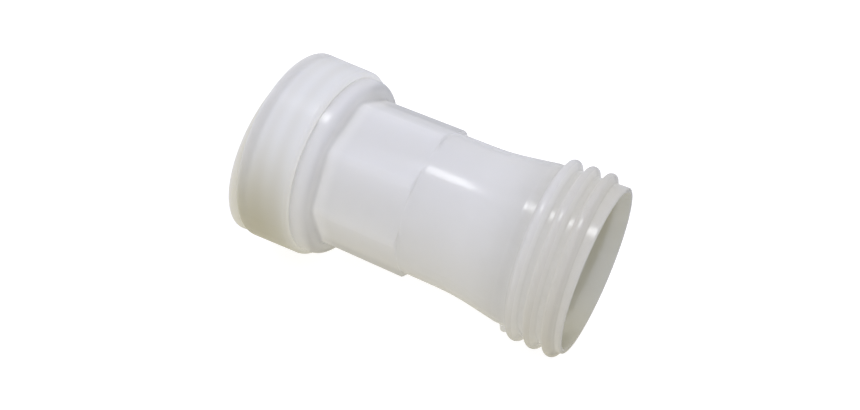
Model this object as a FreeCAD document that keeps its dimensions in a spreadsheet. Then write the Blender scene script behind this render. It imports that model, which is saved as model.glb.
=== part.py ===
import FreeCAD, Part
import os
import Sketcher

# Push fit pipe coupling. The pipe axis is X, with the bare threaded outlet's face at X = 0 and the
# capped push fit end at +X. Z is up. Lengths are millimetres and angles are degrees about +X from +Y.

os.makedirs("parts", exist_ok=True)
doc = FreeCAD.newDocument("PushFitCoupling")
Vector = FreeCAD.Vector

# ---------------------------------------------------------------------------------------------
# Driving dimensions. A word ending in _at is a station along X, and one ending in _rad a radius.
# ---------------------------------------------------------------------------------------------
SIZES = {
    # the moulded body, from the outlet to the capped end
    "lip_rad": 27.55,
    "lip_round": 0.45,
    "flare_foot_at": 23.3,
    "flare_foot_rad": 26.8,
    "root_rad": 27.5,
    "waist_at": 38.9,
    "waist_rad": 24.4,
    "flare_blend": 80.0,
    "grip_at": 57.3,
    "grip_corner_rad": 25.9,
    "grip_across_flats": 48.8,
    "grip_turn": 13.1,
    "grip_edge_round": 0.4,
    "grip_foot_round": 1.1,
    "shoulder_at": 87.7,
    "shoulder_rad": 30.8,
    "shoulder_round": 3.0,
    "shoulder_edge": 0.15,
    "shoulder_end_at": 92.85,
    "spigot_end_at": 105.1,
    # the inside of the body
    "outlet_at": 0.0,
    "core_rad": 12.0,
    "bore_core_rad": 8.0,
    "end_clear": 1.0,
    "outlet_bore_rad": 26.1,
    "outlet_bore_end_at": 21.0,
    "outlet_taper_end_at": 38.0,
    "socket_rad": 21.8,
    "stop_at": 57.0,
    "stop_end_at": 60.0,
    "stop_rad": 20.3,
    "gland_rad": 26.1,
    "gland_floor_at": 89.5,
    # the coarse rounded thread, the same on both spigots
    "pitch": 6.0,
    "thread_depth": 2.6,
    "thread_foot_half": 2.3,
    "thread_flank_half": 1.8,
    "thread_crest_half": 1.0,
    "thread_foot_rise": 0.4,
    "thread_crest_drop": 0.6,
    "thread_foot_round": 0.7,
    "thread_crest_round": 1.6,
    "thread_bury": 0.8,
    "thread_zero_at": 10.10,
    "outlet_thread_at": 3.15,
    "outlet_ridge_rad": 27.55,
    "outlet_ridge_end_rad": 27.42,
    "outlet_draft": 0.4,
    "spigot_ridge_rad": 27.42,
    "outlet_thread_long": 18.15,
    "spigot_thread_at": 95.5,
    "spigot_thread_long": 6.5,
    "run_out": 0.48,
    "thread_gap": 0.3,
    # the retaining cap
    "cap_start_at": 92.9,
    "cap_start_rad": 32.65,
    "cap_end_at": 111.3,
    "cap_end_rad": 33.2,
    "cap_round": 1.6,
    "cap_rim_round": 0.3,
    "cap_bore_rad": 30.3,
    "web_at": 106.1,
    "web_end_at": 107.7,
    "web_rad": 24.1,
    "recess_rad": 32.5,
    "cap_thread_at": 95.0,
    "cap_thread_long": 9.1,
    "cap_thread_tip_half": 0.75,
    "cap_thread_foot_half": 1.85,
    "cap_tip_round": 0.3,
    "cap_tip_drop": 0.45,
    # the release sleeve
    "sleeve_nose_at": 99.5,
    "sleeve_bore_rad": 21.9,
    "sleeve_rad": 23.6,
    "sleeve_nose_rad": 22.9,
    "sleeve_nose_long": 1.2,
    "barb_at": 103.9,
    "barb_full_at": 104.9,
    "barb_end_at": 105.9,
    "barb_rad": 24.9,
    "head_at": 109.5,
    "head_rad": 31.9,
    "rim_rad": 32.8,
    "head_floor_at": 110.3,
    "rim_bore_rad": 30.2,
    "rim_low_at": 110.9,
    "rim_high_at": 116.6,
    "rim_clear_at": 125.0,
    "head_low_side": -32.8,
    "head_high_side": 32.8,
    "rim_turn": -58.0,
    "rim_round": 0.6,
    "slit_start_at": 95.0,
    "slit_end_at": 106.7,
    "slit_low_side": -0.8,
    "slit_high_side": 0.8,
    # the ring of pieces in the gland
    "ring_clear": 0.1,
    "washer_rad": 27.3,
    "washer_bore_rad": 25.25,
    "washer_at": 105.15,
    "washer_end_at": 105.95,
    "carrier_at": 98.45,
    "carrier_end_at": 105.0,
    "carrier_bore_rad": 24.0,
    "carrier_step_at": 101.9,
    "carrier_mouth_rad": 25.2,
    "grab_at": 98.0,
    "grab_end_at": 98.4,
    "grab_bend_rad": 24.2,
    "grab_tip_rad": 21.65,
    "grab_tip_drop": 1.5,
    "grab_slit_low_side": -0.65,
    "grab_slit_high_side": 0.65,
    "grab_slit_rad": 24.6,
    "follower_at": 94.2,
    "follower_end_at": 97.95,
    "follower_bore_rad": 22.1,
    "follower_cone_at": 95.6,
    "follower_cone_rad": 24.3,
    "o_ring_mid_at": 91.85,
    "o_ring_mid_rad": 23.82,
    "o_ring_section_rad": 2.22,
}
GRIP_SIDES = 8
GRAB_TEETH = 16
SLEEVE_SLIT_CUTS = 3
SINK_ANGLE = -80.0
CLEAR_OF_ALL = 45.0
LEAST_CUT = 0.5

sheet = doc.addObject("Spreadsheet::Sheet", "Sizes")
for row, (word, number) in enumerate(SIZES.items(), start=1):
    sheet.set(f"A{row}", word)
    sheet.set(f"B{row}", str(number))
    sheet.setAlias(f"B{row}", word)
doc.recompute()


def value(text):
    """The number that a sum of cell names comes to, such as 'gland_rad - ring_clear'."""
    total = 0.0
    sign = 1.0
    for word in text.split():
        if word in ("+", "-"):
            sign = 1.0 if word == "+" else -1.0
        else:
            total += sign * float(sheet.get(word))
            sign = 1.0
    return total


def formula(text):
    """The same sum as an expression on the sheet."""
    return " ".join(word if word in ("+", "-") else f"Sizes.{word}" for word in text.split())


# ---------------------------------------------------------------------------------------------
# Sketches
# ---------------------------------------------------------------------------------------------
def new_body(label):
    body = doc.addObject("PartDesign::Body", label)
    body.Label = label
    return body


def new_sketch(body, name, role, turn=0.0, along=None):
    """A sketch on an origin plane, turned about X, or moved along its own normal."""
    plane = next(item for item in body.Origin.OriginFeatures if item.Role == role)
    sketch = body.newObject("Sketcher::SketchObject", name)
    sketch.AttachmentSupport = [(plane, "")]
    sketch.MapMode = "FlatFace"
    sketch.AttachmentOffset = FreeCAD.Placement(Vector(0, 0, 0), FreeCAD.Rotation(Vector(1, 0, 0), turn))
    if along:
        sketch.setExpression("AttachmentOffset.Base.z", formula(along))
    return sketch


def hold_point(sketch, line, end, x_text, y_text):
    """Ties one end of a line or arc to the sheet, measured from the sketch's origin."""
    for kind, text in (("DistanceX", x_text), ("DistanceY", y_text)):
        number = value(text)
        if abs(number) < 1e-9:
            axis = -2 if kind == "DistanceX" else -1
            sketch.addConstraint(Sketcher.Constraint("PointOnObject", line, end, axis))
            continue
        index = sketch.addConstraint(Sketcher.Constraint(kind, -1, 1, line, end, number))
        sketch.setExpression(f"Constraints[{index}]", formula(text))


def middle_of_arc(start, end, radius, side):
    """The middle of an arc of the given radius, bulging to the left (side 1) or right (-1)."""
    chord = end - start
    half = chord.Length / 2
    rise = radius - (radius * radius - half * half) ** 0.5
    left = Vector(-chord.y, chord.x, 0).normalize()
    return (start + end) * 0.5 + left * rise * side


def outline(sketch, points):
    """A closed outline. A point is (x, y) or (x, y, radius cell, side) where an arc starts there."""
    places = [Vector(value(point[0]), value(point[1]), 0) for point in points]
    count = len(points)
    for number, point in enumerate(points):
        start = places[number]
        end = places[(number + 1) % count]
        if len(point) == 4:
            middle = middle_of_arc(start, end, value(point[2]), point[3])
            arc = Part.Arc(start, middle, end)
            sketch.addGeometry(arc, False)
        else:
            sketch.addGeometry(Part.LineSegment(start, end), False)
    ends = [arc_ends(sketch, number, places[number]) for number in range(count)]
    for number, point in enumerate(points):
        following = (number + 1) % count
        joint = Sketcher.Constraint("Coincident", number, ends[number][1], following, ends[following][0])
        sketch.addConstraint(joint)
        hold_point(sketch, number, ends[number][0], point[0], point[1])
        if len(point) == 4:
            radius = Sketcher.Constraint("Radius", number, value(point[2]))
            index = sketch.addConstraint(radius)
            sketch.setExpression(f"Constraints[{index}]", formula(point[2]))


def arc_ends(sketch, number, start):
    """Which end of a piece of geometry is its first one, because an arc is kept anticlockwise."""
    if (sketch.getPoint(number, 1) - start).Length < 1e-6:
        return (1, 2)
    return (2, 1)


# ---------------------------------------------------------------------------------------------
# Features
# ---------------------------------------------------------------------------------------------
def revolved(body, name, points):
    sketch = new_sketch(body, name + "_outline", "XY_Plane")
    outline(sketch, points)
    feature = body.newObject("PartDesign::Revolution", name)
    feature.Profile = sketch
    feature.ReferenceAxis = (sketch, ["H_Axis"])
    feature.Angle = 360
    doc.recompute()
    return feature


def middle_of_edge(edge):
    """The middle of an edge, and how far that is from the axis."""
    middle = edge.valueAt((edge.FirstParameter + edge.LastParameter) / 2)
    return middle, (middle.y ** 2 + middle.z ** 2) ** 0.5


def filleted(body, name, numbers, size):
    """Rounds the numbered edges of the body as it stands."""
    base = body.Tip
    feature = body.newObject("PartDesign::Fillet", name)
    feature.Base = (base, [f"Edge{number}" for number in numbers])
    feature.setExpression("Radius", formula(size))
    doc.recompute()
    return feature


def rounded(body, name, size, stations):
    """Rounds the round edges that lie at the given (x, radius) places."""
    numbers = []
    for number, edge in enumerate(body.Tip.Shape.Edges, start=1):
        middle, radius = middle_of_edge(edge)
        for x_text, r_text in stations:
            if abs(middle.x - value(x_text)) < 0.01 and abs(radius - value(r_text)) < 0.01:
                numbers.append(number)
    return filleted(body, name, numbers, size)


def helix(body, name, kind, points, turn, height, cone=0.0, backwards=False):
    """A ridge or groove: an outline in a half plane through the axis, wound at the thread's pitch."""
    sketch = new_sketch(body, name + "_outline", "XY_Plane", turn)
    outline(sketch, points)
    feature = body.newObject(kind, name)
    feature.Profile = sketch
    feature.ReferenceAxis = (sketch, ["H_Axis"])
    feature.Mode = 0
    feature.setExpression("Pitch", "Sizes.pitch")
    feature.setExpression("Height", height)
    feature.Angle = cone
    feature.Reversed = backwards
    doc.recompute()
    return feature


def cut_along(body, name, sketch, length, both_ways=False, reverse=False):
    """A pocket, checked to have taken something away."""
    before = body.Tip.Shape.Volume
    feature = body.newObject("PartDesign::Pocket", name)
    feature.Profile = sketch
    feature.Length = value(length) if isinstance(length, str) else length
    if isinstance(length, str):
        feature.setExpression("Length", formula(length))
    feature.Midplane = both_ways
    feature.Reversed = reverse
    doc.recompute()
    if feature.Shape.Volume > before - LEAST_CUT:
        raise RuntimeError(f"{name} cut nothing")
    return feature


def repeated(body, name, feature, count):
    """Turns a feature about X into a full ring of itself."""
    axis = next(item for item in body.Origin.OriginFeatures if item.Role == "X_Axis")
    pattern = body.newObject("PartDesign::PolarPattern", name)
    pattern.Originals = [feature]
    pattern.Axis = (axis, [""])
    pattern.Angle = 360
    pattern.Occurrences = count
    body.Tip = pattern
    doc.recompute()
    return pattern


# ---------------------------------------------------------------------------------------------
# Threads
# ---------------------------------------------------------------------------------------------
def thread_turn(station, behind):
    """The angle about X at which a ridge's middle passes a station, a given length behind the others."""
    return (value(station) - value("thread_zero_at") - behind) / value("pitch") * 360.0


def ridge_outline(start, root):
    """A rounded ridge that stands on a wall of radius root, with its middle at the given station."""
    crest = f"{root} + thread_depth"
    return [
        (f"{start} - thread_foot_half", f"{root} - thread_bury"),
        (f"{start} - thread_foot_half", root, "thread_foot_round", -1),
        (f"{start} - thread_flank_half", f"{root} + thread_foot_rise"),
        (f"{start} - thread_crest_half", f"{crest} - thread_crest_drop", "thread_crest_round", 1),
        (f"{start} + thread_crest_half", f"{crest} - thread_crest_drop"),
        (f"{start} + thread_flank_half", f"{root} + thread_foot_rise", "thread_foot_round", -1),
        (f"{start} + thread_foot_half", root),
        (f"{start} + thread_foot_half", f"{root} - thread_bury"),
    ]


def male_thread(body, name, start, length, first_root, last_root, draft):
    """A ridge that climbs towards the capped end, with a draft, and sinks into the wall at both ends."""
    kind = "PartDesign::AdditiveHelix"
    last = f"{start} + {length}"
    first_turn = thread_turn(start, 0.0)
    last_turn = thread_turn(last, 0.0)
    helix(body, name, kind, ridge_outline(start, first_root), first_turn, f"Sizes.{length}", -draft)
    helix(body, name + "_lead_in", kind, ridge_outline(start, first_root), first_turn,
          "Sizes.run_out", SINK_ANGLE, True)
    helix(body, name + "_lead_out", kind, ridge_outline(last, last_root), last_turn,
          "Sizes.run_out", SINK_ANGLE)


def inner_ridge_outline(start):
    """A ridge on the cap's bore that fits between two turns of the spigot's ridge."""
    bore = "cap_bore_rad"
    tip = "root_rad + thread_gap"
    return [
        (f"{start} - cap_thread_foot_half", f"{bore} + thread_bury"),
        (f"{start} - cap_thread_foot_half", bore),
        (f"{start} - cap_thread_tip_half", f"{tip} + cap_tip_drop"),
        (f"{start} - cap_thread_tip_half + cap_tip_round", tip),
        (f"{start} + cap_thread_tip_half - cap_tip_round", tip),
        (f"{start} + cap_thread_tip_half", f"{tip} + cap_tip_drop"),
        (f"{start} + cap_thread_foot_half", bore),
        (f"{start} + cap_thread_foot_half", f"{bore} + thread_bury"),
    ]


# ---------------------------------------------------------------------------------------------
# The moulded body
# ---------------------------------------------------------------------------------------------
def make_body():
    body = new_body("body")
    revolved(body, "shell", [
        ("outlet_at", "core_rad"),
        ("outlet_at", "lip_rad"),
        ("flare_foot_at", "flare_foot_rad"),
        ("waist_at", "waist_rad"),
        ("grip_at", "waist_rad"),
        ("grip_at", "grip_corner_rad"),
        ("shoulder_at", "grip_corner_rad"),
        ("shoulder_at", "shoulder_rad - shoulder_round", "shoulder_round", 1),
        ("shoulder_at + shoulder_round", "shoulder_rad"),
        ("shoulder_end_at", "shoulder_rad"),
        ("shoulder_end_at", "root_rad"),
        ("spigot_end_at", "root_rad"),
        ("spigot_end_at", "core_rad"),
    ])
    cut_grip(body)
    soften_grip(body)
    rounded(body, "flare_blended", "flare_blend", [("waist_at", "waist_rad")])
    rounded(body, "shoulder_edged", "shoulder_edge", [("shoulder_end_at", "shoulder_rad")])
    rounded(body, "lip_rounded", "lip_round", [("outlet_at", "lip_rad")])
    male_thread(body, "spigot_thread", "spigot_thread_at", "spigot_thread_long",
                "spigot_ridge_rad", "spigot_ridge_rad", 0.0)
    male_thread(body, "outlet_thread", "outlet_thread_at", "outlet_thread_long",
                "outlet_ridge_rad", "outlet_ridge_end_rad", value("outlet_draft"))
    hollow_out(body)
    return body


def hollow_out(body):
    """Cuts the bores from end to end: the outlet and its taper, both pipe sockets, the stop, the gland."""
    sketch = new_sketch(body, "bores", "XY_Plane")
    outline(sketch, [
        ("outlet_at - end_clear", "bore_core_rad"),
        ("outlet_at - end_clear", "outlet_bore_rad"),
        ("outlet_bore_end_at", "outlet_bore_rad"),
        ("outlet_taper_end_at", "socket_rad"),
        ("stop_at", "socket_rad"),
        ("stop_at", "stop_rad"),
        ("stop_end_at", "stop_rad"),
        ("stop_end_at", "socket_rad"),
        ("gland_floor_at", "socket_rad"),
        ("gland_floor_at", "gland_rad"),
        ("spigot_end_at + end_clear", "gland_rad"),
        ("spigot_end_at + end_clear", "bore_core_rad"),
    ])
    before = body.Tip.Shape.Volume
    feature = body.newObject("PartDesign::Groove", "hollow")
    feature.Profile = sketch
    feature.ReferenceAxis = (sketch, ["H_Axis"])
    feature.Angle = 360
    doc.recompute()
    if feature.Shape.Volume > before - LEAST_CUT:
        raise RuntimeError("the bores cut nothing")


def cut_grip(body):
    """Eight flats, level with the waist, that leave narrow round bands at their corners."""
    sketch = new_sketch(body, "grip_flats", "YZ_Plane", along="grip_at")
    sketch.addGeometry(Part.Circle(Vector(0, 0, 0), Vector(0, 0, 1), CLEAR_OF_ALL), False)
    sketch.addConstraint(Sketcher.Constraint("Coincident", 0, 3, -1, 1))
    sketch.addConstraint(Sketcher.Constraint("Radius", 0, CLEAR_OF_ALL))
    apothem = value("grip_across_flats") / 2
    corner = Vector(apothem / cosine(180.0 / GRIP_SIDES), 0, 0)
    turned = [FreeCAD.Rotation(Vector(0, 0, 1), value("grip_turn") + 360.0 * side / GRIP_SIDES)
              for side in range(GRIP_SIDES + 1)]
    for side in range(GRIP_SIDES):
        start = turned[side].multVec(corner)
        end = turned[side + 1].multVec(corner)
        sketch.addGeometry(Part.LineSegment(start, end), False)
    cut_along(body, "grip_cut", sketch, "shoulder_at - grip_at", reverse=True)


def soften_grip(body):
    """Rounds the edges of the corner bands, then the foot of the shoulder all the way round."""
    bands = []
    for number, edge in enumerate(body.Tip.Shape.Edges, start=1):
        middle, radius = middle_of_edge(edge)
        on_a_flat = value("grip_at") + 1 < middle.x < value("shoulder_at") - 1
        at_the_step = abs(middle.x - value("grip_at")) < 0.01
        if abs(radius - value("grip_corner_rad")) < 0.02 and (on_a_flat or at_the_step):
            bands.append(number)
    filleted(body, "bands_softened", bands, "grip_edge_round")
    foot = []
    for number, edge in enumerate(body.Tip.Shape.Edges, start=1):
        middle, radius = middle_of_edge(edge)
        if abs(middle.x - value("shoulder_at")) < 0.01 and radius < value("grip_corner_rad") + 0.02:
            foot.append(number)
    filleted(body, "foot_softened", foot, "grip_foot_round")


def cosine(degrees):
    return FreeCAD.Rotation(Vector(0, 0, 1), degrees).multVec(Vector(1, 0, 0)).x


# ---------------------------------------------------------------------------------------------
# The retaining cap
# ---------------------------------------------------------------------------------------------
def make_retaining_cap():
    body = new_body("retaining_cap")
    revolved(body, "cap_wall", [
        ("cap_start_at", "cap_bore_rad"),
        ("cap_start_at", "cap_start_rad"),
        ("cap_end_at", "cap_end_rad"),
        ("cap_end_at", "recess_rad"),
        ("web_end_at", "recess_rad"),
        ("web_end_at", "web_rad"),
        ("web_at", "web_rad"),
        ("web_at", "cap_bore_rad"),
    ])
    rounded(body, "cap_rounded", "cap_round", [("cap_start_at", "cap_start_rad")])
    rounded(body, "cap_rim_rounded", "cap_rim_round", [
        ("cap_end_at", "cap_end_rad"),
        ("cap_end_at", "recess_rad"),
    ])
    turn = thread_turn("cap_thread_at", value("pitch") / 2)
    ridge = inner_ridge_outline("cap_thread_at")
    helix(body, "cap_thread", "PartDesign::AdditiveHelix", ridge, turn, "Sizes.cap_thread_long")
    return body


# ---------------------------------------------------------------------------------------------
# The release sleeve
# ---------------------------------------------------------------------------------------------
def make_release_sleeve():
    body = new_body("release_sleeve")
    revolved(body, "sleeve_wall", [
        ("sleeve_nose_at", "sleeve_bore_rad"),
        ("sleeve_nose_at", "sleeve_nose_rad"),
        ("sleeve_nose_at + sleeve_nose_long", "sleeve_rad"),
        ("barb_at", "sleeve_rad"),
        ("barb_full_at", "barb_rad"),
        ("barb_end_at", "barb_rad"),
        ("barb_end_at", "sleeve_rad"),
        ("head_at", "sleeve_rad"),
        ("head_at", "head_rad"),
        ("rim_high_at", "rim_rad"),
        ("rim_high_at", "rim_bore_rad"),
        ("head_floor_at", "rim_bore_rad"),
        ("head_floor_at", "sleeve_bore_rad"),
    ])
    slope_the_rim(body)
    slit_the_sleeve(body)
    return body


def slope_the_rim(body):
    """Cuts the thumb rim along a sloping plane, so that it stands highest on one side."""
    sketch = new_sketch(body, "rim_slope", "XY_Plane", value("rim_turn"))
    outline(sketch, [
        ("rim_low_at", "head_low_side"),
        ("rim_high_at", "head_high_side"),
        ("rim_clear_at", "head_high_side"),
        ("rim_clear_at", "head_low_side"),
    ])
    cut_along(body, "rim_sloped", sketch, 2 * CLEAR_OF_ALL, both_ways=True)
    sloping = [number for number, edge in enumerate(body.Tip.Shape.Edges, start=1)
               if edge.isClosed() and edge.BoundBox.XLength > 1.0]
    filleted(body, "rim_rounded", sloping, "rim_round")


def slit_the_sleeve(body):
    """Slits from the nose to behind the barbs, so that the fingers can be sprung through the web."""
    sketch = new_sketch(body, "slit", "XY_Plane")
    outline(sketch, [
        ("slit_start_at", "slit_low_side"),
        ("slit_end_at", "slit_low_side"),
        ("slit_end_at", "slit_high_side"),
        ("slit_start_at", "slit_high_side"),
    ])
    slit = cut_along(body, "slit_cut", sketch, 2 * CLEAR_OF_ALL, both_ways=True)
    repeated(body, "slits", slit, SLEEVE_SLIT_CUTS)


# ---------------------------------------------------------------------------------------------
# The pieces that hold and seal the pipe
# ---------------------------------------------------------------------------------------------
def make_ring(label, points):
    body = new_body(label)
    revolved(body, label + "_ring", points)
    return body


def make_slip_washer():
    return make_ring("slip_washer", [
        ("washer_at", "washer_bore_rad"),
        ("washer_at", "washer_rad"),
        ("washer_end_at", "washer_rad"),
        ("washer_end_at", "washer_bore_rad"),
    ])


def make_grab_ring_carrier():
    return make_ring("grab_ring_carrier", [
        ("carrier_at", "carrier_bore_rad"),
        ("carrier_at", "gland_rad - ring_clear"),
        ("carrier_end_at", "gland_rad - ring_clear"),
        ("carrier_end_at", "carrier_mouth_rad"),
        ("carrier_step_at", "carrier_mouth_rad"),
        ("carrier_step_at", "carrier_bore_rad"),
    ])


def make_o_ring_follower():
    return make_ring("o_ring_follower", [
        ("follower_at", "follower_bore_rad"),
        ("follower_at", "gland_rad - ring_clear"),
        ("follower_end_at", "gland_rad - ring_clear"),
        ("follower_end_at", "follower_cone_rad"),
        ("follower_cone_at", "follower_bore_rad"),
    ])


def make_o_ring():
    """The seal, at the size that it has between the pipe and the gland."""
    body = new_body("o_ring")
    sketch = new_sketch(body, "section", "XY_Plane")
    middle = Vector(value("o_ring_mid_at"), value("o_ring_mid_rad"), 0)
    sketch.addGeometry(Part.Circle(middle, Vector(0, 0, 1), value("o_ring_section_rad")), False)
    hold_point(sketch, 0, 3, "o_ring_mid_at", "o_ring_mid_rad")
    index = sketch.addConstraint(Sketcher.Constraint("Radius", 0, value("o_ring_section_rad")))
    sketch.setExpression(f"Constraints[{index}]", "Sizes.o_ring_section_rad")
    feature = body.newObject("PartDesign::Revolution", "seal")
    feature.Profile = sketch
    feature.ReferenceAxis = (sketch, ["H_Axis"])
    feature.Angle = 360
    doc.recompute()
    return body


def make_grab_ring():
    """A thin dished ring whose teeth lean into the fitting."""
    body = make_ring("grab_ring", [
        ("grab_at", "grab_bend_rad"),
        ("grab_at", "gland_rad - ring_clear"),
        ("grab_end_at", "gland_rad - ring_clear"),
        ("grab_end_at", "grab_bend_rad"),
        ("grab_end_at - grab_tip_drop", "grab_tip_rad"),
        ("grab_at - grab_tip_drop", "grab_tip_rad"),
    ])
    sketch = new_sketch(body, "tooth_gap", "XY_Plane")
    outline(sketch, [
        ("follower_at", "grab_slit_low_side"),
        ("carrier_end_at", "grab_slit_low_side"),
        ("carrier_end_at", "grab_slit_high_side"),
        ("follower_at", "grab_slit_high_side"),
    ])
    gap = cut_along(body, "tooth_gap_cut", sketch, "grab_slit_rad", reverse=True)
    repeated(body, "teeth", gap, GRAB_TEETH)
    return body


# ---------------------------------------------------------------------------------------------
# Build, check and write every piece
# ---------------------------------------------------------------------------------------------
pieces = [
    make_body(),
    make_retaining_cap(),
    make_release_sleeve(),
    make_slip_washer(),
    make_grab_ring_carrier(),
    make_o_ring_follower(),
    make_o_ring(),
    make_grab_ring(),
]
doc.recompute()
for item in doc.Objects:
    if "Invalid" in item.State or "Error" in item.State:
        raise RuntimeError(f"{item.Name} failed: {item.State}")
for piece in pieces:
    shape = piece.Shape
    if shape.isNull() or not shape.isValid() or len(shape.Solids) != 1:
        raise RuntimeError(f"{piece.Label} is not one good solid")
    print(f"{piece.Label}: {shape.Volume / 1000:.2f} cm3, {len(shape.Faces)} faces")
    shape.exportStep(f"parts/{piece.Label}.step")
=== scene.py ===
import math

import bpy
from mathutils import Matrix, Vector


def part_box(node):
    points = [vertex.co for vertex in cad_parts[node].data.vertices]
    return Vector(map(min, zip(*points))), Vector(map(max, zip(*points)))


MM = 0.001

# Stations along the pipe's axis and other lengths, as in the CAD
PITCH = 6 * MM
THREAD_RADIUS = 30 * MM
THREAD_REST = 4.5 * MM
THREAD_END = 22.9 * MM
CONE_START = 22.7 * MM
CONE_END = 26.7 * MM
GRIP_START = 55.5 * MM
GRIP_END = 87 * MM
SHOULDER_START = 88 * MM
SHOULDER_END = 93.5 * MM
BORE_RADIUS = 26.2 * MM
WALL_RADIUS = 26.9 * MM

# Camera
AZIMUTH = 209.0
ELEVATION = 48.8
DISTANCE = 0.338
LENS = 43.5

# How far each part's shading is drawn to straight out, and how far that leans towards the capped end
GRIP_ROUNDING = 0.75
THREAD_ROUNDING = 0.68
CONE_LEAN = 0.154
THREAD_LEAN = 0.115
FLATS_LEAN = 0.07
SHOULDER_LEAN = 0.11

# Painted light: glow given off by the surface in creases
CREASE_GLOW = 0.45
CREASE_REACH = 6 * MM

# Colours
THICK_COLOUR = (0.865, 0.87, 0.865)
CAP_COLOUR = (0.83, 0.835, 0.82)
# Painted shade: the next two colours darken the thin outlet wall and the inside of its bore
THIN_WALL_SHADE_COLOUR = (0.60, 0.58, 0.515)
BORE_SHADE_COLOUR = (0.53, 0.515, 0.42)
# Painted shade: darker bands on the cap for the screw turns behind its wall
THREAD_SHADE_COLOUR = (0.80, 0.80, 0.775)
# Painted shade: the cap's lower side towards its rim
LOWER_SHADE_COLOUR = (0.585, 0.56, 0.435)
FLOOR_BEHIND = (0.60, 0.61, 0.655)
FLOOR_IN_FRONT = (0.62, 0.59, 0.49)

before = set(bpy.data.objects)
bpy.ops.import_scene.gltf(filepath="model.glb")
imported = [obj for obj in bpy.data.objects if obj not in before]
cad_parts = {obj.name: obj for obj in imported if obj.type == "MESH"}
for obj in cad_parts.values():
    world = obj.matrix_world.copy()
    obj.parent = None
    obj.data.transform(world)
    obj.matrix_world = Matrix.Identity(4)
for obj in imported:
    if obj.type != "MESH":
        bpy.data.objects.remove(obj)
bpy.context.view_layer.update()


# ---------------------------------------------------------------------------------------------
# Where things are, from the frame
# ---------------------------------------------------------------------------------------------
cap_low, cap_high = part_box("retaining_cap")
cap_radius = cap_high.z
axis_length = cap_high.x
look_at = Vector((0.5245 * axis_length, 0.021 * cap_radius, -0.016 * cap_radius))


# ---------------------------------------------------------------------------------------------
# Camera and light
# ---------------------------------------------------------------------------------------------
def direction(azimuth, elevation):
    """The way from the object to something seen at this azimuth and elevation, in degrees."""
    a = math.radians(azimuth)
    e = math.radians(elevation)
    return Vector((math.sin(a) * math.cos(e), -math.cos(a) * math.cos(e), math.sin(e)))


def aim(obj, target):
    obj.rotation_euler = (target - obj.location).to_track_quat("-Z", "Y").to_euler()


def make_camera():
    camera = bpy.data.objects.new("camera", bpy.data.cameras.new("camera"))
    bpy.context.scene.collection.objects.link(camera)
    camera.data.lens = LENS
    camera.data.sensor_width = 36.0
    camera.data.clip_start = 0.01
    camera.location = look_at + direction(AZIMUTH, ELEVATION) * DISTANCE
    aim(camera, look_at)
    bpy.context.scene.camera = camera


def softbox(name, place, target, wide, tall, watts, colour):
    data = bpy.data.lights.new(name, "AREA")
    data.shape = "RECTANGLE"
    data.size = wide
    data.size_y = tall
    data.energy = watts
    data.color = colour
    lamp = bpy.data.objects.new(name, data)
    lamp.location = place
    aim(lamp, target)
    lamp.visible_diffuse = False
    bpy.context.scene.collection.objects.link(lamp)


def make_world():
    world = bpy.data.worlds.new("studio")
    bpy.context.scene.world = world
    world.use_nodes = True
    tree = world.node_tree
    tree.nodes.clear()
    place = tree.nodes.new("ShaderNodeTexCoord")
    split = tree.nodes.new("ShaderNodeSeparateXYZ")
    ramp = tree.nodes.new("ShaderNodeValToRGB")
    dome = tree.nodes.new("ShaderNodeBackground")
    plain = tree.nodes.new("ShaderNodeBackground")
    path = tree.nodes.new("ShaderNodeLightPath")
    mix = tree.nodes.new("ShaderNodeMixShader")
    out = tree.nodes.new("ShaderNodeOutputWorld")
    remap = tree.nodes.new("ShaderNodeMapRange")
    remap.inputs["From Min"].default_value = -1.0
    tree.links.new(place.outputs["Generated"], split.inputs[0])
    tree.links.new(split.outputs["Z"], remap.inputs["Value"])
    tree.links.new(remap.outputs[0], ramp.inputs[0])
    ramp.color_ramp.elements[0].position = 0.40
    ramp.color_ramp.elements[0].color = (0.59, 0.575, 0.535, 1)
    ramp.color_ramp.elements[1].position = 0.95
    ramp.color_ramp.elements[1].color = (0.875, 0.885, 1.0, 1)
    tree.links.new(ramp.outputs[0], dome.inputs["Color"])
    dome.inputs["Strength"].default_value = 1.07
    plain.inputs["Color"].default_value = (1, 1, 1, 1)
    plain.inputs["Strength"].default_value = 1.0
    tree.links.new(path.outputs["Is Camera Ray"], mix.inputs[0])
    tree.links.new(dome.outputs[0], mix.inputs[1])
    tree.links.new(plain.outputs[0], mix.inputs[2])
    tree.links.new(mix.outputs[0], out.inputs[0])


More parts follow.
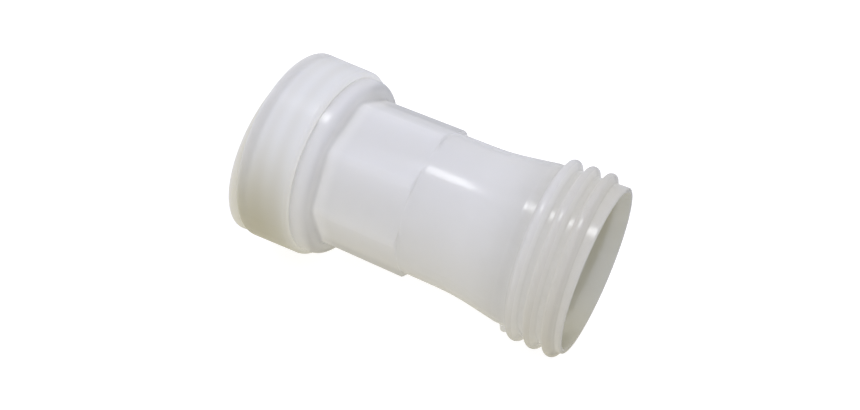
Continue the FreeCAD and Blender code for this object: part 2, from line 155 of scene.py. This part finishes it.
def make_floor():
    """A pale floor that the cap's rim and the outlet's thread both rest on, lit cooler behind the object."""
    mesh = bpy.data.meshes.new("floor")
    side = 3.0
    corners = [(-side, -side, 0), (side, -side, 0), (side, side, 0), (-side, side, 0)]
    mesh.from_pydata(corners, [], [(0, 1, 2, 3)])
    floor = bpy.data.objects.new("floor", mesh)
    bpy.context.scene.collection.objects.link(floor)
    tilt = math.atan2(cap_radius - THREAD_RADIUS, cap_high.x - THREAD_REST)
    floor.rotation_euler = (0, tilt, 0)
    floor.location = (cap_high.x, 0, -cap_radius - 0.2 * MM)
    material = bpy.data.materials.new("floor")
    material.use_nodes = True
    tree = material.node_tree
    tree.nodes.clear()
    out = tree.nodes.new("ShaderNodeOutputMaterial")
    seen = tree.nodes.new("ShaderNodeAddShader")
    glow = tree.nodes.new("ShaderNodeEmission")
    paper = tree.nodes.new("ShaderNodeBsdfDiffuse")
    table = tree.nodes.new("ShaderNodeEmission")
    path = tree.nodes.new("ShaderNodeLightPath")
    mix = tree.nodes.new("ShaderNodeMixShader")
    glow.inputs["Strength"].default_value = 0.75
    paper.inputs["Color"].default_value = (0.45, 0.45, 0.45, 1)
    table.inputs["Strength"].default_value = 1.0
    in_front = smooth_step(tree, place_in_object(tree)[1], -25 * MM, 15 * MM)
    tree.links.new(blended(tree, in_front, FLOOR_BEHIND, FLOOR_IN_FRONT), table.inputs["Color"])
    tree.links.new(glow.outputs[0], seen.inputs[0])
    tree.links.new(paper.outputs[0], seen.inputs[1])
    tree.links.new(path.outputs["Is Camera Ray"], mix.inputs[0])
    tree.links.new(table.outputs[0], mix.inputs[1])
    tree.links.new(seen.outputs[0], mix.inputs[2])
    tree.links.new(mix.outputs[0], out.inputs[0])
    mesh.materials.append(material)


# ---------------------------------------------------------------------------------------------
# Materials
# ---------------------------------------------------------------------------------------------
def fresh_material(name):
    material = bpy.data.materials.new(name)
    material.use_nodes = True
    return material, material.node_tree, material.node_tree.nodes["Principled BSDF"]


def noise(tree, scale, detail, stretch=(1, 1, 1)):
    place = tree.nodes.new("ShaderNodeTexCoord")
    mapping = tree.nodes.new("ShaderNodeMapping")
    mapping.inputs["Scale"].default_value = stretch
    texture = tree.nodes.new("ShaderNodeTexNoise")
    texture.inputs["Scale"].default_value = scale
    texture.inputs["Detail"].default_value = detail
    tree.links.new(place.outputs["Object"], mapping.inputs["Vector"])
    tree.links.new(mapping.outputs[0], texture.inputs["Vector"])
    return texture.outputs["Fac"]


def ranged(tree, value, low, high):
    node = tree.nodes.new("ShaderNodeMapRange")
    node.inputs["From Min"].default_value = 0.1
    node.inputs["From Max"].default_value = 0.9
    node.inputs["To Min"].default_value = low
    node.inputs["To Max"].default_value = high
    tree.links.new(value, node.inputs["Value"])
    return node.outputs[0]


def bumped(tree, shader, height, depth):
    bump = tree.nodes.new("ShaderNodeBump")
    bump.inputs["Strength"].default_value = 1.0
    bump.inputs["Distance"].default_value = depth
    tree.links.new(height, bump.inputs["Height"])
    tree.links.new(bump.outputs[0], shader.inputs["Normal"])


def maths(tree, operation, first, second=None):
    node = tree.nodes.new("ShaderNodeMath")
    node.operation = operation
    for slot, value in enumerate((first, second)):
        if value is None:
            continue
        if isinstance(value, (int, float)):
            node.inputs[slot].default_value = value
        else:
            tree.links.new(value, node.inputs[slot])
    return node.outputs[0]


def vector_maths(tree, operation, first, second=None):
    node = tree.nodes.new("ShaderNodeVectorMath")
    node.operation = operation
    tree.links.new(first, node.inputs[0])
    if isinstance(second, tuple):
        node.inputs[1].default_value = second
    return node.outputs["Vector"]


def vector_dot(tree, first, second):
    node = tree.nodes.new("ShaderNodeVectorMath")
    node.operation = "DOT_PRODUCT"
    tree.links.new(first, node.inputs[0])
    tree.links.new(second, node.inputs[1])
    return node.outputs["Value"]


def place_in_object(tree):
    place = tree.nodes.new("ShaderNodeTexCoord")
    split = tree.nodes.new("ShaderNodeSeparateXYZ")
    tree.links.new(place.outputs["Object"], split.inputs[0])
    return split.outputs


def smooth_step(tree, value, start, end):
    """0 before start and 1 after end, with no corners."""
    node = tree.nodes.new("ShaderNodeMapRange")
    node.interpolation_type = "SMOOTHSTEP"
    node.inputs["From Min"].default_value = start
    node.inputs["From Max"].default_value = end
    tree.links.new(value, node.inputs["Value"])
    return node.outputs[0]


def between(tree, value, start, end, soft):
    """1 from start to end and 0 outside, with soft ends inside them."""
    return maths(tree, "SUBTRACT", smooth_step(tree, value, start, start + soft),
                 smooth_step(tree, value, end - soft, end))


def blended(tree, amount, first, second):
    node = tree.nodes.new("ShaderNodeMix")
    node.data_type = "RGBA"
    tree.links.new(amount, node.inputs["Factor"])
    for slot, colour in ((6, first), (7, second)):
        if isinstance(colour, tuple):
            node.inputs[slot].default_value = (*colour, 1)
        else:
            tree.links.new(colour, node.inputs[slot])
    return node.outputs[2]


def thread_shade_bands(tree, start, end):
    """Painted shade: the screw turns behind the wall between two stations, as soft bands from 0 to 1."""
    x, y, z = place_in_object(tree)
    turn = maths(tree, "DIVIDE", maths(tree, "ARCTAN2", z, y), 2 * math.pi)
    turns_along = maths(tree, "SUBTRACT", maths(tree, "DIVIDE", x, PITCH), turn)
    wave = maths(tree, "SINE", maths(tree, "MULTIPLY", turns_along, 2 * math.pi))
    band = maths(tree, "ADD", maths(tree, "MULTIPLY", wave, 0.5), 0.5)
    return maths(tree, "MULTIPLY", band, between(tree, x, start, end, 2 * MM))


def weighted(tree, parts):
    """The sum of each value times its weight."""
    total = 0.0
    for value, weight in parts:
        total = maths(tree, "ADD", maths(tree, "MULTIPLY", value, weight), total)
    return total


def rounded_normal(tree, amount, lean):
    """The surface's own direction, drawn part of the way to one that leans a little from straight out."""
    place = tree.nodes.new("ShaderNodeTexCoord")
    surface = tree.nodes.new("ShaderNodeNewGeometry")
    across = vector_maths(tree, "MULTIPLY", place.outputs["Object"], (0, 1, 1))
    straight = vector_maths(tree, "NORMALIZE", across)
    along = tree.nodes.new("ShaderNodeCombineXYZ")
    tree.links.new(lean, along.inputs[0])
    leaning = tree.nodes.new("ShaderNodeVectorMath")
    tree.links.new(straight, leaning.inputs[0])
    tree.links.new(along.outputs[0], leaning.inputs[1])
    outward = vector_maths(tree, "NORMALIZE", leaning.outputs[0])
    outwardness = vector_dot(tree, surface.outputs["Normal"], straight)
    facing = maths(tree, "SIGN", maths(tree, "ADD", outwardness, 0.05))
    signed = vector_maths(tree, "SCALE", outward)
    tree.links.new(facing, signed.node.inputs["Scale"])
    blend = tree.nodes.new("ShaderNodeMix")
    blend.data_type = "VECTOR"
    tree.links.new(amount, blend.inputs["Factor"])
    tree.links.new(surface.outputs["Normal"], blend.inputs[4])
    tree.links.new(signed, blend.inputs[5])
    return vector_maths(tree, "NORMALIZE", blend.outputs[1])


def milky_plastic(name, colour, scatter, rough):
    """Translucent white moulded plastic: light enters, scatters warm and leaves a little way off."""
    material, tree, shader = fresh_material(name)
    shader.inputs["Base Color"].default_value = (*colour, 1)
    shader.inputs["Subsurface Weight"].default_value = 1.0
    shader.inputs["Subsurface Radius"].default_value = (0.92, 0.94, 1.0)
    shader.inputs["Subsurface Scale"].default_value = scatter
    shader.inputs["IOR"].default_value = 1.49
    worn = noise(tree, 60.0, 4.0)
    tree.links.new(ranged(tree, worn, rough * 0.85, rough * 1.2), shader.inputs["Roughness"])
    bumped(tree, shader, noise(tree, 260.0, 2.0), 0.00003)
    return material


def crease_glow(tree, shader, strength):
    """Painted light: the surface glows in creases, standing in for light the milky wall carries there where
    the room's can't reach; less into slits.
    """
    shade = tree.nodes.new("ShaderNodeAmbientOcclusion")
    shade.samples = 8
    shade.inputs["Distance"].default_value = CREASE_REACH
    hidden = maths(tree, "SUBTRACT", 1.0, shade.outputs["AO"])
    open_part = maths(tree, "SUBTRACT", 1.0, maths(tree, "MULTIPLY", hidden, 0.8))
    shader.inputs["Emission Color"].default_value = (0.95, 0.94, 0.93, 1)
    tree.links.new(maths(tree, "MULTIPLY", maths(tree, "MULTIPLY", hidden, open_part), strength),
                   shader.inputs["Emission Strength"])


def body_plastic():
    """Painted shade: the walls thin towards the outlet and are coloured greyer, darker and warmer there and
    inside the bore; light inside hides the edges.
    """
    material = milky_plastic("body_plastic", THICK_COLOUR, 0.009, 0.19)
    tree = material.node_tree
    shader = tree.nodes["Principled BSDF"]
    x, y, z = place_in_object(tree)
    # Painted shade: colour turns darker and warmer towards the outlet and inside its bore
    squared = maths(tree, "ADD", maths(tree, "MULTIPLY", y, y), maths(tree, "MULTIPLY", z, z))
    radius = maths(tree, "SQRT", squared)
    outer = smooth_step(tree, radius, BORE_RADIUS, WALL_RADIUS)
    thin = blended(tree, outer, BORE_SHADE_COLOUR, THIN_WALL_SHADE_COLOUR)
    thick = smooth_step(tree, x, 6 * MM, 32 * MM)
    tree.links.new(blended(tree, thick, thin, THICK_COLOUR), shader.inputs["Base Color"])

    on_thread = between(tree, x, -MM, THREAD_END, MM)
    on_cone = between(tree, x, CONE_START, CONE_END, 0.6 * MM)
    on_flats = between(tree, x, GRIP_START, GRIP_END, MM)
    on_shoulder = between(tree, x, SHOULDER_START, SHOULDER_END, MM)
    on_capped_half = between(tree, x, GRIP_START, SHOULDER_END, MM)
    rounding = weighted(tree, [(on_capped_half, GRIP_ROUNDING), (on_thread, THREAD_ROUNDING), (on_cone, 1.0)])
    lean = weighted(tree, [(on_cone, CONE_LEAN), (on_thread, THREAD_LEAN), (on_flats, FLATS_LEAN),
                           (on_shoulder, -SHOULDER_LEAN)])
    tree.links.new(rounded_normal(tree, rounding, lean), tree.nodes["Bump"].inputs["Normal"])

    # Painted light: the crease glow is weaker on the plain wall and stronger by the shoulder
    on_plain_wall = between(tree, x, 42 * MM, 83 * MM, 4 * MM)
    by_shoulder = between(tree, x, 82 * MM, 92.7 * MM, 3 * MM)
    change = weighted(tree, [(on_plain_wall, -0.25), (by_shoulder, 0.10)])
    crease_glow(tree, shader, maths(tree, "ADD", change, CREASE_GLOW))
    return material


def cap_plastic():
    """Painted shade: the cap's wall shows the turns of the screw as soft darker bands, and its lower side
    towards the rim is coloured darker and warmer where the space beyond the wall is dark.
    """
    material = milky_plastic("cap_plastic", THICK_COLOUR, 0.003, 0.24)
    tree = material.node_tree
    shader = tree.nodes["Principled BSDF"]
    x, y, z = place_in_object(tree)
    # Painted shade: darker soft bands where the screw turns lie behind the wall
    band = thread_shade_bands(tree, cap_low.x, cap_high.x - 4 * MM)
    screwed = blended(tree, band, CAP_COLOUR, THREAD_SHADE_COLOUR)
    # Painted shade: darker, warmer colour on the cap's lower side towards the rim
    towards_rim = smooth_step(tree, x, cap_low.x - 12 * MM, cap_high.x - 6 * MM)
    lower = smooth_step(tree, maths(tree, "SUBTRACT", y, z), -10 * MM, 40 * MM)
    painted_lower_shade = maths(tree, "MULTIPLY", towards_rim, lower)
    tree.links.new(blended(tree, painted_lower_shade, screwed, LOWER_SHADE_COLOUR), shader.inputs["Base Color"])
    crease_glow(tree, shader, CREASE_GLOW)
    return material


def stainless():
    material, tree, shader = fresh_material("pressed_stainless")
    shader.inputs["Base Color"].default_value = (0.60, 0.60, 0.59, 1)
    shader.inputs["Metallic"].default_value = 1.0
    grain = noise(tree, 900.0, 3.0, (1, 1, 0.15))
    tree.links.new(ranged(tree, grain, 0.22, 0.40), shader.inputs["Roughness"])
    bumped(tree, shader, grain, 0.00001)
    return material


def rubber():
    material, tree, shader = fresh_material("greased_rubber")
    shader.inputs["Base Color"].default_value = (0.018, 0.018, 0.019, 1)
    shader.inputs["Coat Weight"].default_value = 0.25
    shader.inputs["Coat Roughness"].default_value = 0.25
    grain = noise(tree, 700.0, 3.0)
    tree.links.new(ranged(tree, grain, 0.45, 0.62), shader.inputs["Roughness"])
    bumped(tree, shader, grain, 0.00002)
    return material


def dress(node, material):
    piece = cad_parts[node]
    piece.data.materials.clear()
    piece.data.materials.append(material)
    for face in piece.data.polygons:
        face.use_smooth = True


make_camera()
make_world()
make_floor()
overhead = look_at + Vector((0.284, -0.127, 0.950)) * 0.95
softbox("overhead", overhead, look_at, 0.16, 0.16, 0.9, (0.97, 0.98, 1.0))

dress("body", body_plastic())
dress("retaining_cap", cap_plastic())
dress("release_sleeve", milky_plastic("sleeve_plastic", (0.80, 0.78, 0.69), 0.005, 0.3))
dress("slip_washer", milky_plastic("washer_plastic", (0.86, 0.84, 0.78), 0.002, 0.4))
carrier = milky_plastic("carrier_plastic", (0.75, 0.75, 0.73), 0.002, 0.35)
dress("grab_ring_carrier", carrier)
dress("o_ring_follower", carrier)
dress("grab_ring", stainless())
dress("o_ring", rubber())

bpy.context.scene.view_settings.view_transform = "Standard"
